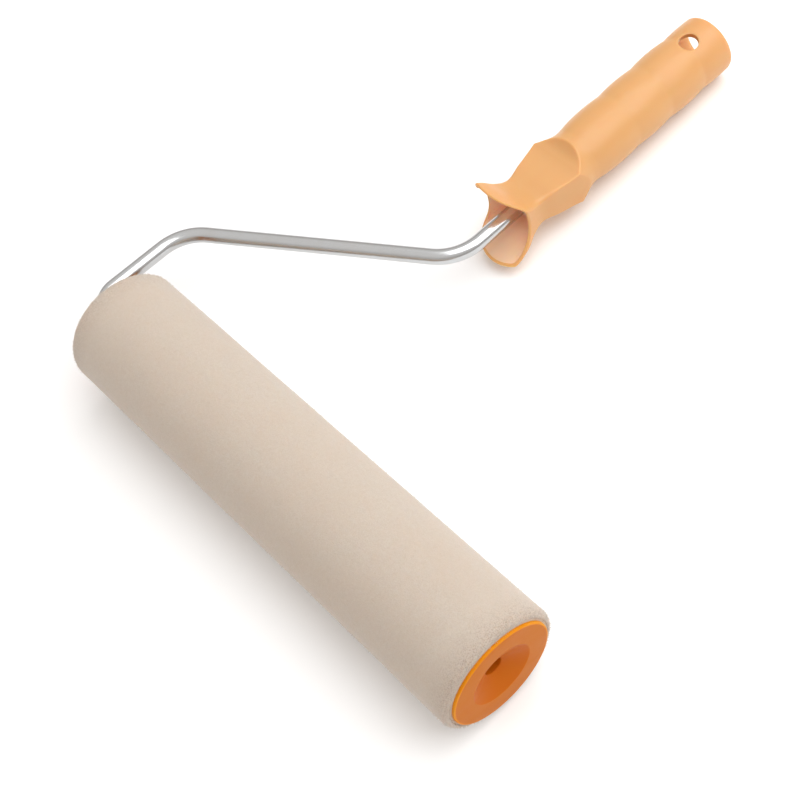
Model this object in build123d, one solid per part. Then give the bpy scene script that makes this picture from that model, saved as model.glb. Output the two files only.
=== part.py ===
"""Wide paint roller: bent steel frame, moulded grip with a drip guard, push-on sleeve.

Millimetres. The origin is the centre of the sleeve on the roller's axis.
+X runs along the axis towards the open end cap, +Y towards the handle,
+Z is square to the plane that the bent rod lies in.
"""
import math
import os

from build123d import *

# Sleeve
SLEEVE_LENGTH = 240.0        # fabric, end to end
CORE_OUTER_R = 24.0          # plastic tube, 48 mm outside
CORE_INNER_R = 22.0
BACKING_OUTER_R = 24.8       # woven backing bonded to the tube
PILE_OUTER_R = 28.0          # tips of the pile, 56 mm outside
PILE_END_ROUND = 3.0         # how far the pile rounds over at each end
CORE_END_X = 119.5           # end faces of the tube, +X and -X

# End caps, one moulding used at both ends
CAP_FACE_X = 121.3           # outer face of the flange
CAP_FLANGE_T = 1.8
CAP_EDGE_ROUND = 0.5
CAP_DISH_R = 14.3            # where the flat face turns into the conical dish
CAP_DISH_DEPTH = 4.7
CAP_WALL = 1.6
CAP_SKIRT_INNER_R = 20.2
CAP_SKIRT_LENGTH = 12.0
CAP_HUB_OUTER_R = 8.0
CAP_RIB_COUNT = 6
CAP_RIB_T = 1.4
CAP_RIB_LENGTH = 7.0
VENT_R = 4.1                 # open hole at the bottom of the outboard dish
VENT_LAND = 3.0              # length of that hole
SNAP_BORE_R = 5.6            # pocket for the snap bush inside the outboard hub
OUT_HUB_LENGTH = 21.3        # outboard hub, from the dish inwards
IN_HUB_LENGTH = 14.0         # inboard hub
IN_BEARING_R = 3.75          # inboard hub bore, running on the rod

# Snap bush that carries the outboard end and grips the rod's tip
SNAP_OUTER_R = 5.52
SNAP_INNER_R = 3.9
SNAP_BEAD_R = 3.7            # beads drawn sprung open to just clear the rod
SNAP_X = (97.6, 112.9)
SNAP_BEAD_X = (101.6, 103.6)
SNAP_SLOT_W = 1.2
SNAP_SLOT_END_X = 108.0
RETAINER_INNER_R = 4.1
RETAINER_X = (95.4, 97.3)

# Rod
ROD_R = 3.65
ROD_TIP_X = 110.0
ROD_TIP_CHAMFER = 1.0
ROD_GROOVE_R = 3.1
ROD_GROOVE_X = (101.0, 104.2)
ELBOW_X = -141.3             # corner next to the sleeve's inboard end
KNEE = (-140.4, 50.5)        # corner at the start of the slanted run
NECK = (-29.2, 122.2)        # corner below the handle
ELBOW_BEND_R = 9.5
KNEE_BEND_R = 23.0
NECK_BEND_R = 23.0
ROD_END_Y = 198.0            # end moulded into the handle

# Stop collar and washer at the inboard end
COLLAR_R = 6.6
COLLAR_X = (-127.9, -122.9)
COLLAR_ROUND = 0.6
WASHER_R = 9.0
WASHER_INNER_R = 3.75
WASHER_X = (-122.9, -121.7)

# Handle. HANDLE_X is its axis; y runs along it.
HANDLE_X = -29.2
HANDLE_END_Y = 283.8
HANDLE_END_ROUND = 0.9
GRIP_VALLEYS = ((196.7, 13.6), (222.8, 14.25), (244.3, 14.2), (266.2, 14.1))
GRIP_SWELLS = ((209.5, 14.85), (233.2, 14.85), (254.8, 14.92))
GRIP_TAIL = (276.0, 14.6)
GRIP_END_R = 14.3
SHOULDER = ((175.0, 27.0), (181.0, 19.6), (184.6, 17.0), (189.4, 14.9), (193.0, 13.9))
PLAN_HALF = ((130.0, 13.3), (141.0, 13.8), (146.0, 14.0), (151.0, 13.7), (156.0, 12.0),
             (162.5, 10.5), (172.0, 11.9), (184.6, 14.1), (196.0, 15.2), (206.0, 16.2))
TOP_Z = ((130.0, 21.9), (144.0, 19.5), (151.0, 15.4), (156.0, 11.4), (162.5, 8.1),
         (172.0, 8.5), (184.6, 9.6), (188.6, 11.0), (192.5, 14.4), (195.0, 17.5), (200.0, 24.0))
LOW_Z = ((130.0, 16.8), (138.0, 15.8), (144.0, 14.1), (151.0, 10.6), (156.0, 8.3), (162.5, 7.0),
         (172.0, 8.0), (184.6, 9.4), (188.6, 11.0), (192.5, 14.4), (195.0, 17.5), (200.0, 24.0))
GUARD_WALL = 1.3
GUARD_FLOOR_Y = 160.5
# Front edge of the guard: y at each height, on three planes across the handle
MOUTH_Z = (26.0, 17.8, 13.2, 9.0, 4.0, -2.0, -7.0, -12.0, -16.0, -22.0)
MOUTH_LEFT_Y = (149.4, 149.2, 150.2, 154.6, 156.4, 157.0, 156.4, 152.4, 147.2, 141.0)
MOUTH_MID_Y = (146.6, 146.8, 148.4, 149.5, 149.5, 148.0, 144.4, 140.4, 137.6, 134.5)
MOUTH_RIGHT_Y = (154.0, 154.4, 155.6, 158.0, 159.1, 158.2, 154.8, 148.6, 143.4, 139.4)
MOUTH_PLANES_X = (-18.0, 0.0, 18.0)
SOCKET_R = 12.0              # for an extension pole
SOCKET_DEPTH = 80.0
SOCKET_LEAD_IN = 0.9
HANG_HOLE_R = 4.6
HANG_HOLE_Y = 268.7
HANG_HOLE_TILT = 7.0         # degrees about the handle's axis, from +Z towards +X
ROD_END_GAP = 0.4            # bore past the rod's end
SQUARE_END_Y = 194.0         # from here on only the round grip bounds the handle
OVERRUN = 5.0                # how far cutters pass the faces they cut
CLEAR_OF_HANDLE = 80.0       # wider than the handle anywhere


def tube(x0, x1, outer_r, inner_r):
    """Ring of one outside and one inside radius along the roller's axis."""
    profile = Polyline((x0, inner_r), (x1, inner_r), (x1, outer_r), (x0, outer_r), close=True)
    return revolve(make_face(profile), Axis.X)


def core_tube():
    """Extruded plastic tube that everything on the sleeve is fixed to."""
    return tube(-CORE_END_X, CORE_END_X, CORE_OUTER_R, CORE_INNER_R)


def fabric_backing():
    """Woven backing bonded round the tube."""
    half = SLEEVE_LENGTH / 2
    return tube(-half, half, BACKING_OUTER_R, CORE_OUTER_R)


def pile_cover():
    """Pile as one plain ring, rounded over at both ends."""
    half = SLEEVE_LENGTH / 2
    ring = tube(-half, half, PILE_OUTER_R, BACKING_OUTER_R)
    rims = [e for e in ring.edges().filter_by(GeomType.CIRCLE) if abs(e.radius - PILE_OUTER_R) < 0.01]
    return fillet(rims, PILE_END_ROUND)


def cap_shell(hub_length):
    """Flange, conical dish, skirt and solid hub, outer face towards +X."""
    face = CAP_FACE_X
    back = face - CAP_FLANGE_T
    dish = face - CAP_DISH_DEPTH
    slope = CAP_DISH_DEPTH / (CAP_DISH_R - VENT_R)
    dish_back_r = CAP_HUB_OUTER_R
    dish_back_x = face - slope * (CAP_DISH_R - dish_back_r) - CAP_WALL
    skirt_x = back - CAP_SKIRT_LENGTH
    profile = Polyline(
        (dish, 0), (dish, VENT_R), (face, CAP_DISH_R), (face, CORE_OUTER_R),
        (back, CORE_OUTER_R), (back, CORE_INNER_R), (skirt_x, CORE_INNER_R),
        (skirt_x, CAP_SKIRT_INNER_R), (back, CAP_SKIRT_INNER_R), (back, CAP_DISH_R - 1.0),
        (dish_back_x, dish_back_r), (dish - hub_length, dish_back_r), (dish - hub_length, 0),
        close=True)
    shell = revolve(make_face(profile), Axis.X)
    rims = [e for e in shell.edges().filter_by(GeomType.CIRCLE)
            if abs(e.radius - CORE_OUTER_R) < 0.01 and abs(e.center().X - face) < 0.01]
    return fillet(rims, CAP_EDGE_ROUND)


def cap_ribs():
    """Radial stiffening ribs between the hub and the skirt."""
    inner = CAP_HUB_OUTER_R - 0.5
    outer = CAP_SKIRT_INNER_R + 0.5
    x1 = CAP_FACE_X - CAP_FLANGE_T + 0.2
    span = outer - inner
    rib = Box(CAP_RIB_LENGTH, CAP_RIB_T, span)
    rib = Pos(x1 - CAP_RIB_LENGTH / 2, 0, inner + span / 2) * rib
    ribs = [Rot(X=i * 360 / CAP_RIB_COUNT) * rib for i in range(CAP_RIB_COUNT)]
    dish_space = Pos(CAP_FACE_X, 0, 0) * Rot(Y=90) * Cone(
        VENT_R, CAP_DISH_R, CAP_DISH_DEPTH, align=(Align.CENTER, Align.CENTER, Align.MAX))
    return [r - dish_space for r in ribs]


def outboard_cap():
    """Cap at the open end: vent hole, then a pocket that holds the snap bush."""
    dish = CAP_FACE_X - CAP_DISH_DEPTH
    cap = cap_shell(OUT_HUB_LENGTH)
    for rib in cap_ribs():
        cap = cap + rib
    vent = Pos(dish, 0, 0) * Rot(Y=90) * Cylinder(VENT_R, 2 * VENT_LAND + 1.0)
    pocket_len = OUT_HUB_LENGTH - VENT_LAND
    pocket = Rot(Y=90) * Cylinder(SNAP_BORE_R, pocket_len)
    pocket = Pos(dish - VENT_LAND - pocket_len / 2, 0, 0) * pocket
    return cap - vent - pocket


def inboard_cap():
    """Cap at the frame's end, with a plain bearing bore through the hub."""
    cap = cap_shell(IN_HUB_LENGTH)
    for rib in cap_ribs():
        cap = cap + rib
    bore = Pos(CAP_FACE_X - 10.0, 0, 0) * Rot(Y=90) * Cylinder(IN_BEARING_R, 60.0)
    return Rot(Z=180) * (cap - bore)


def snap_bush():
    """Split bush that turns in the outboard hub and snaps on the rod's tip."""
    x0, x1 = SNAP_X
    b0, b1 = SNAP_BEAD_X
    profile = Polyline(
        (x0, SNAP_INNER_R), (b0 - 1.0, SNAP_INNER_R), (b0, SNAP_BEAD_R), (b1, SNAP_BEAD_R),
        (b1 + 1.0, SNAP_INNER_R), (x1, SNAP_INNER_R), (x1, SNAP_OUTER_R), (x0, SNAP_OUTER_R),
        close=True)
    bush = revolve(make_face(profile), Axis.X)
    length = SNAP_SLOT_END_X - x0 + 1.0
    slot = Pos(SNAP_SLOT_END_X - length / 2, 0, 0) * Box(length, SNAP_SLOT_W, 4 * SNAP_OUTER_R)
    return bush - slot - Rot(X=90) * slot


def bush_retainer():
    """Ring pressed into the hub behind the snap bush."""
    return tube(RETAINER_X[0], RETAINER_X[1], SNAP_BORE_R, RETAINER_INNER_R)


def bent_path(corners, radii):
    """Straight runs through the corners, joined by tangent arcs."""
    pts = [Vector(*c) for c in corners]
    edges = []
    start = pts[0]
    for i, radius in enumerate(radii, start=1):
        back = (pts[i - 1] - pts[i]).normalized()
        ahead = (pts[i + 1] - pts[i]).normalized()
        setback = radius / math.tan(math.radians(back.get_angle(ahead)) / 2)
        bend_in = pts[i] + back * setback
        bend_out = pts[i] + ahead * setback
        edges.append(Line(start, bend_in))
        edges.append(TangentArc(bend_in, bend_out, tangent=back * -1))
        start = bend_out
    edges.append(Line(start, pts[-1]))
    return Wire(edges)


def frame_rod():
    """Round rod bent three times in one plane, grooved near its tip."""
    corners = [(ROD_TIP_X, 0), (ELBOW_X, 0), KNEE, NECK, (HANDLE_X, ROD_END_Y)]
    path = bent_path(corners, (ELBOW_BEND_R, KNEE_BEND_R, NECK_BEND_R))
    section = Plane(origin=(ROD_TIP_X, 0, 0), z_dir=(-1, 0, 0)) * Circle(ROD_R)
    rod = sweep(section, path=path)
    groove = tube(ROD_GROOVE_X[0], ROD_GROOVE_X[1], ROD_R + 1.0, ROD_GROOVE_R)
    nose_x = ROD_TIP_X - ROD_TIP_CHAMFER
    nose = Polyline((nose_x, ROD_R), (ROD_TIP_X, ROD_R - ROD_TIP_CHAMFER),
                    (ROD_TIP_X, ROD_R + 1.0), (nose_x, ROD_R + 1.0), close=True)
    return rod - groove - revolve(make_face(nose), Axis.X)


def stop_collar():
    """Collar pressed on the rod that stops the sleeve short of the elbow."""
    collar = tube(COLLAR_X[0], COLLAR_X[1], COLLAR_R, ROD_R)
    rims = [e for e in collar.edges().filter_by(GeomType.CIRCLE) if abs(e.radius - COLLAR_R) < 0.01]
    return fillet(rims, COLLAR_ROUND)


def thrust_washer():
    """Loose washer between the collar and the turning cap."""
    return tube(WASHER_X[0], WASHER_X[1], WASHER_R, WASHER_INNER_R)


def grip_revolve():
    """Round grip with shallow swells, flaring to a shoulder at the front."""
    v = GRIP_VALLEYS
    s = GRIP_SWELLS
    front = Spline([(r, y) for y, r in SHOULDER] + [(v[0][1], v[0][0])])
    edges = [front]
    for (y0, r0), (ym, rm), (y1, r1) in zip(v[:-1], s, v[1:]):
        edges.append(ThreePointArc((r0, y0), (rm, ym), (r1, y1)))
    edges.append(ThreePointArc((v[-1][1], v[-1][0]), (GRIP_TAIL[1], GRIP_TAIL[0]),
                               (GRIP_END_R, HANDLE_END_Y)))
    front_y = PLAN_HALF[0][0]
    front_r = SHOULDER[0][1]
    edges.append(Polyline((GRIP_END_R, HANDLE_END_Y), (0, HANDLE_END_Y), (0, front_y),
                          (front_r, front_y), (front_r, SHOULDER[0][0])))
    grip = revolve(make_face(edges), Axis.Y)
    rims = [e for e in grip.edges().filter_by(GeomType.CIRCLE)
            if abs(e.center().Y - HANDLE_END_Y) < 0.01]
    return fillet(rims, HANDLE_END_ROUND)


def prism(upper, lower, plane, depth, inset=0.0):
    """Solid between two curves of (y, distance), both drawn from the same plane.

    The curves run along the handle. lower is mirrored to the negative side.
    """
    def point(y, d):
        """Place on the drawing plane."""
        return (d, y) if plane == "XY" else (y, d)
    top = Spline([point(y, d - inset) for y, d in upper])
    low = Spline([point(y, inset - d) for y, d in lower])
    start = Line(top @ 0, low @ 0)
    end = Line(top @ 1, low @ 1)
    face = make_face([top, end, low, start])
    base = Plane.XY if plane == "XY" else Plane.YZ
    return extrude(base * face if plane == "YZ" else face, amount=depth, both=True)


def square_body(inset=0.0):
    """Four-sided neck and guard: a plan outline crossed with a side outline."""
    plan = prism(PLAN_HALF, PLAN_HALF, "XY", CLEAR_OF_HANDLE, inset)
    side = prism(TOP_Z, LOW_Z, "YZ", CLEAR_OF_HANDLE, inset)
    return plan & side


def mouth_section(x, edge_y):
    """Closed outline in front of the guard's edge, on one plane across the handle."""
    edge = [(x, y, z) for y, z in zip(edge_y, MOUTH_Z)]
    front_y = PLAN_HALF[0][0] - OVERRUN
    corner_low = (x, front_y, MOUTH_Z[-1])
    corner_top = (x, front_y, MOUTH_Z[0])
    return make_face([Spline(edge), Polyline(edge[-1], corner_low, corner_top, edge[0])])


def mouth_cutter():
    """Everything in front of the guard's edge, which is longer underneath."""
    edges = (MOUTH_LEFT_Y, MOUTH_MID_Y, MOUTH_RIGHT_Y)
    return loft([mouth_section(x, edge_y) for x, edge_y in zip(MOUTH_PLANES_X, edges)])


def handle_grip():
    """One moulding: grip, neck with flat faces, open drip guard, pole socket."""
    front_y = PLAN_HALF[0][0]
    solid = grip_revolve() & square_body_to_end()
    cavity = square_body(GUARD_WALL)
    keep = block(front_y - OVERRUN, GUARD_FLOOR_Y)
    solid = solid - (cavity & keep) - mouth_cutter()
    solid = solid - along_y(ROD_R, front_y, ROD_END_Y + ROD_END_GAP)
    solid = solid - along_y(SOCKET_R, HANDLE_END_Y - SOCKET_DEPTH, HANDLE_END_Y + OVERRUN)
    lead_in = Cone(SOCKET_R, SOCKET_R + 2 * SOCKET_LEAD_IN, 2 * SOCKET_LEAD_IN)
    solid = solid - Pos(0, HANDLE_END_Y, 0) * Rot(X=-90) * lead_in
    hang = Pos(0, HANG_HOLE_Y, 0) * Rot(Y=HANG_HOLE_TILT) * Cylinder(HANG_HOLE_R, CLEAR_OF_HANDLE)
    return Pos(HANDLE_X, 0, 0) * (solid - hang)


def along_y(radius, y0, y1):
    """Cylinder on the handle's axis."""
    return Pos(0, (y0 + y1) / 2, 0) * Rot(X=90) * Cylinder(radius, y1 - y0)


def block(y0, y1):
    """Plain block round the handle's axis, wider than the handle."""
    return Pos(0, (y0 + y1) / 2, 0) * Box(CLEAR_OF_HANDLE, y1 - y0, CLEAR_OF_HANDLE)


def square_body_to_end():
    """The four-sided body, joined to a plain block over the round grip."""
    return square_body() + block(SQUARE_END_Y, HANDLE_END_Y + OVERRUN)


PARTS = {
    "handle_grip": handle_grip,
    "frame_rod": frame_rod,
    "stop_collar": stop_collar,
    "thrust_washer": thrust_washer,
    "snap_bush": snap_bush,
    "core_tube": core_tube,
    "fabric_backing": fabric_backing,
    "pile_cover": pile_cover,
    "inboard_cap": inboard_cap,
    "outboard_cap": outboard_cap,
    "bush_retainer": bush_retainer,
}


def main():
    """Write one STEP file per piece."""
    os.makedirs("parts", exist_ok=True)
    for name, build in PARTS.items():
        export_step(build(), f"parts/{name}.step")


main()
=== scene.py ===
"""Wide paint roller: the visual model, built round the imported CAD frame.

Everything is in metres in the CAD frame: +X along the roller's axis towards
the open end cap, +Y towards the handle's end, +Z square to the bent rod.
"""
import logging
import math
from collections.abc import Callable
from dataclasses import dataclass
from enum import Enum

import bpy
import numpy as np
from mathutils import Matrix, Vector, noise


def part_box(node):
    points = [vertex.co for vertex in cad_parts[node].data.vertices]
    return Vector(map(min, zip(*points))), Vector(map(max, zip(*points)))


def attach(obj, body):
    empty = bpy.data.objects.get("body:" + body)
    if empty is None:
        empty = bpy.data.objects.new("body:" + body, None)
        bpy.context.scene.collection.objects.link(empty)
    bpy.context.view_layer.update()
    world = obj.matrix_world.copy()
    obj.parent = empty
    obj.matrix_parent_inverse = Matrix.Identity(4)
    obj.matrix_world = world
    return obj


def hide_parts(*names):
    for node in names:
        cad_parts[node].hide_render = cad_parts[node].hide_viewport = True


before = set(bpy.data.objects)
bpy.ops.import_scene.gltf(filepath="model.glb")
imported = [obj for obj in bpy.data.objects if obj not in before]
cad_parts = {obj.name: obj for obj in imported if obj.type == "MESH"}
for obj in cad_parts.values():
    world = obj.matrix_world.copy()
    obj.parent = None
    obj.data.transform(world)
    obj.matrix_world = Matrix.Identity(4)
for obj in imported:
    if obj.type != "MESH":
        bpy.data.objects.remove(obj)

LOG = logging.getLogger("paint_roller")
MM = 0.001
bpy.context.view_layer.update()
SHARP_ANGLE = math.radians(38.0)
QUARTER_TURN = 0.5 * math.pi
FULL_TURN = 2 * math.pi
# A distance in mm that no surface reaches, for a face that is left out.
FAR_OUT = 60.0
# The colour mix node's sockets by number: factor, first and second input, and the result.
MIX_INPUTS = (0, 6, 7)
MIX_RESULT = 2

Triple = tuple[float, float, float]
Curve = tuple[tuple[float, float], ...]
Row = tuple[float, ...]
Socket = bpy.types.NodeSocket
Skin = Callable[[np.ndarray, np.ndarray], np.ndarray]


class Body(Enum):
    """The CAD bodies that the new pieces ride on."""

    FRAME = "frame"
    ROLLER = "roller"


class Slot(Enum):
    """The record's material slots, passed along with the new pieces."""

    GRIP = "grip_plastic"
    CAP = "cap_plastic"
    ROD = "rod_steel"
    BACKING = "backing_fabric"
    PILE = "pile_fabric"


class Place(Enum):
    """What a texture reads its place from."""

    OBJECT = "Object"
    UV = "UV"


# ---- materials


class NodeGraph:
    """A material's node tree with one principled shader."""

    def __init__(self, name: str) -> None:
        """Start an empty tree.

        Args:
            name: the material's name.
        """
        self.material = bpy.data.materials.new(name)
        self.material.use_nodes = True
        self.tree = self.material.node_tree
        self.tree.nodes.clear()
        output = self.add("ShaderNodeOutputMaterial")
        self.shader = self.add("ShaderNodeBsdfPrincipled")
        self.tree.links.new(self.shader.outputs["BSDF"], output.inputs["Surface"])

    def add(self, kind: str, inputs: dict | None = None, **settings: object) -> bpy.types.Node:
        """Add one node.

        Args:
            kind: the node's type name.
            inputs: values or sockets for its inputs, by name or number.
            settings: the node's own properties.

        Returns:
            The new node.
        """
        node = self.tree.nodes.new(kind)
        for key, value in settings.items():
            setattr(node, key, value)
        for key, value in (inputs or {}).items():
            self.feed(node, key, value)
        return node

    def feed(self, node: bpy.types.Node, key: str | int, value: object) -> None:
        """Give an input a constant or a link.

        Args:
            node: the node that owns the input.
            key: the input's name or number.
            value: a socket to link, or a constant.
        """
        if isinstance(value, Socket):
            self.tree.links.new(value, node.inputs[key])
        else:
            node.inputs[key].default_value = value

    def set(self, **values: object) -> None:
        """Set the shader's inputs, with underscores for spaces."""
        for key, value in values.items():
            self.feed(self.shader, key.replace("_", " "), value)

    def coordinates(self, source: Place = Place.OBJECT, stretch: Triple = (1.0, 1.0, 1.0)) -> Socket:
        """Texture coordinates, scaled along each axis.

        Args:
            source: which coordinates.
            stretch: how much each axis is multiplied by.

        Returns:
            The vector socket.
        """
        place = self.add("ShaderNodeTexCoord")
        mapping = self.add("ShaderNodeMapping", {"Vector": place.outputs[source.value],
                                                 "Scale": stretch})
        return mapping.outputs["Vector"]

    def noise(self, vector: Socket, scale: float, detail: float = 3.0,
              roughness: float = 0.55) -> Socket:
        """Fractal noise from 0 to 1.

        Args:
            vector: where it is read.
            scale: features per metre.
            detail: octaves.
            roughness: how strong the fine octaves are.

        Returns:
            The factor socket.
        """
        made = self.add("ShaderNodeTexNoise", {"Vector": vector, "Scale": scale, "Detail": detail,
                                               "Roughness": roughness})
        return made.outputs["Fac"]

    def spread(self, value: Socket, low: float, high: float,
               source: tuple[float, float] = (0.3, 0.7)) -> Socket:
        """Map a factor to a range.

        Args:
            value: the factor.
            low: result at the source's low end.
            high: result at the source's high end.
            source: the part of the factor that is used.

        Returns:
            The mapped socket.
        """
        made = self.add("ShaderNodeMapRange", {"Value": value, "From Min": source[0],
                                               "From Max": source[1], "To Min": low, "To Max": high})
        return made.outputs["Result"]

    def mix(self, factor: Socket | float, first: Socket | Triple, second: Socket | Triple) -> Socket:
        """Mix two colours.

        Args:
            factor: 0 for the first, 1 for the second.
            first: a colour or socket.
            second: a colour or socket.

        Returns:
            The colour socket.
        """
        node = self.add("ShaderNodeMix", data_type="RGBA")
        for socket, value in zip(MIX_INPUTS, (factor, rgba(first), rgba(second))):
            self.feed(node, socket, value)
        return node.outputs[MIX_RESULT]

    def combine(self, operation: str, first: Socket | float, second: Socket | float) -> Socket:
        """One step of arithmetic on two factors."""
        node = self.add("ShaderNodeMath", {0: first, 1: second}, operation=operation)
        return node.outputs[0]

    def bump(self, height: Socket, strength: float, depth: float) -> None:
        """Bump the surface.

        Args:
            height: the height factor.
            strength: how much of the bump is used.
            depth: metres from 0 to 1 of the height.
        """
        made = self.add("ShaderNodeBump", {"Height": height, "Strength": strength, "Distance": depth})
        self.feed(self.shader, "Normal", made.outputs["Normal"])


def rgba(colour: Socket | Triple) -> Socket | Row:
    """A colour with its alpha, or a socket as it is."""
    return colour if isinstance(colour, Socket) else (*colour, 1.0)


@dataclass(frozen=True)
class MouldedPlastic:
    """Injection-moulded polypropylene with a satin skin. Scales are features per metre."""

    name: str
    colour: Triple
    deep_colour: Triple
    roughness: float
    see_in: float = 0.0
    see_in_tint: Triple = (1.0, 0.5, 0.25)
    see_in_depth: float = 0.006
    specular: float = 0.5
    ior: float = 1.49
    flow_stretch: Triple = (1.0, 0.35, 1.0)
    flow_scale: float = 55.0
    flow_share: float = 0.55
    speck_scale: float = 1040.0
    speck_share: float = 0.10
    gloss_scale: float = 126.5
    gloss_range: tuple[float, float] = (-0.05, 0.08)
    rub_scale: float = 900.0
    rub_range: tuple[float, float] = (-0.03, 0.04)
    wave_scale: float = 165.0
    wave_share: float = 0.8
    grain_scale: float = 2600.0
    grain_depth: float = 0.00004
    grain_strength: float = 0.35

    def material(self) -> bpy.types.Material:
        """Satin skin: slow colour drift, patchy gloss and a fine grain.

        Returns:
            The material.
        """
        g = NodeGraph(self.name)
        place = g.coordinates(stretch=self.flow_stretch)
        plain = g.coordinates()
        drift = g.noise(place, self.flow_scale, 4.0, 0.6)
        speck = g.noise(plain, self.speck_scale, 3.0)
        colour = g.mix(g.spread(drift, 0.0, self.flow_share), self.zoned(g, plain), self.deep_colour)
        colour = g.mix(g.spread(speck, 0.0, self.speck_share), colour, self.deep_colour)
        gloss = g.spread(g.noise(place, self.gloss_scale, 3.0), self.roughness + self.gloss_range[0],
                         self.roughness + self.gloss_range[1])
        rub = g.spread(g.noise(plain, self.rub_scale, 4.0, 0.7), *self.rub_range)
        g.set(Base_Color=colour, Roughness=g.combine("ADD", gloss, rub), IOR=self.ior,
              Specular_IOR_Level=self.specular)
        if self.see_in:
            g.set(Subsurface_Weight=self.see_in, Subsurface_Radius=self.see_in_tint,
                  Subsurface_Scale=self.see_in_depth)
        grain = g.noise(plain, self.grain_scale, 2.0)
        waves = g.noise(place, self.wave_scale, 2.0)
        relief = g.combine("ADD", grain, g.combine("MULTIPLY", waves, self.wave_share))
        g.bump(relief, self.grain_strength, self.grain_depth)
        return g.material

    def zoned(self, g: NodeGraph, place: Socket) -> Socket | Triple:
        """Colour before drift and specks: one for the whole piece."""
        return self.colour


@dataclass(frozen=True)
class CapPlastic(MouldedPlastic):
    """Moulded plastic of an end cap, with painted shade in the dish and a painted glow at the thin
    flange edge. Metres.
    """

    # Painted shade: a deeper orange inside this radius, across the dish.
    dish_shade_colour: Triple = (0.50, 0.108, 0.002)
    well_r: float = 0.0141
    well_blend: tuple[float, float] = (-0.0002, 0.0003)
    # Painted glow: a brighter orange beyond this radius, at the flange's edge.
    edge_glow_colour: Triple = (0.80, 0.29, 0.008)
    edge_r: float = 0.0233
    edge_blend: tuple[float, float] = (-0.0003, 0.0002)
    across_axis: Triple = (0.0, 1.0, 1.0)

    def zoned(self, g: NodeGraph, place: Socket) -> Socket:
        """Colour by distance from the roller's axis: painted shade in the dish, painted glow at the
        flange's edge.

        Args:
            g: the material's graph.
            place: the plain coordinates.

        Returns:
            The colour socket.
        """
        flat = g.add("ShaderNodeVectorMath", {0: place, 1: self.across_axis}, operation="MULTIPLY")
        reach = g.add("ShaderNodeVectorMath", {0: flat.outputs["Vector"]}, operation="LENGTH")
        colour: Socket | Triple = self.dish_shade_colour
        for radius, blend, outside in ((self.well_r, self.well_blend, self.colour),
                                       (self.edge_r, self.edge_blend, self.edge_glow_colour)):
            span = (radius + blend[0], radius + blend[1])
            colour = g.mix(g.spread(reach.outputs["Value"], 0.0, 1.0, span), colour, outside)
        return colour


@dataclass(frozen=True)
class DrawnSteel:
    """Cold-drawn rod: fine lines along its length under thin zinc. Scales are features per metre."""

    name: str
    colour: Triple
    roughness: float
    source: Place = Place.UV
    line_stretch: Triple = (260.0, 3.0, 1.0)
    line_shade: float = 0.80
    line_share: float = 0.5
    line_range: tuple[float, float] = (-0.05, 0.06)
    line_depth: float = 0.00003
    line_strength: float = 0.25
    cloud_colour: Triple = (0.50, 0.47, 0.44)
    cloud_scale: float = 140.0
    cloud_share: float = 0.25
    cloud_range: tuple[float, float] = (-0.03, 0.05)
    pit_scale: float = 2400.0
    pit_share: float = 0.35

    def material(self) -> bpy.types.Material:
        """Metal with drawn lines, soft cloudiness and a few pits.

        Returns:
            The material.
        """
        g = NodeGraph(self.name)
        lines = g.noise(g.coordinates(self.source, self.line_stretch), 1.0, 5.0, 0.65)
        cloud = g.noise(g.coordinates(), self.cloud_scale, 4.0, 0.6)
        pits = g.noise(g.coordinates(), self.pit_scale, 2.0)
        darker = tuple(self.line_shade * c for c in self.colour)
        colour = g.mix(g.spread(lines, 0.0, self.line_share), self.colour, darker)
        colour = g.mix(g.spread(cloud, 0.0, self.cloud_share), colour, self.cloud_colour)
        lined = g.spread(lines, *(self.roughness + change for change in self.line_range))
        g.set(Base_Color=colour, Metallic=1.0,
              Roughness=g.combine("ADD", lined, g.spread(cloud, *self.cloud_range)))
        height = g.combine("ADD", lines, g.combine("MULTIPLY", pits, self.pit_share))
        g.bump(height, self.line_strength, self.line_depth)
        return g.material


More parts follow.
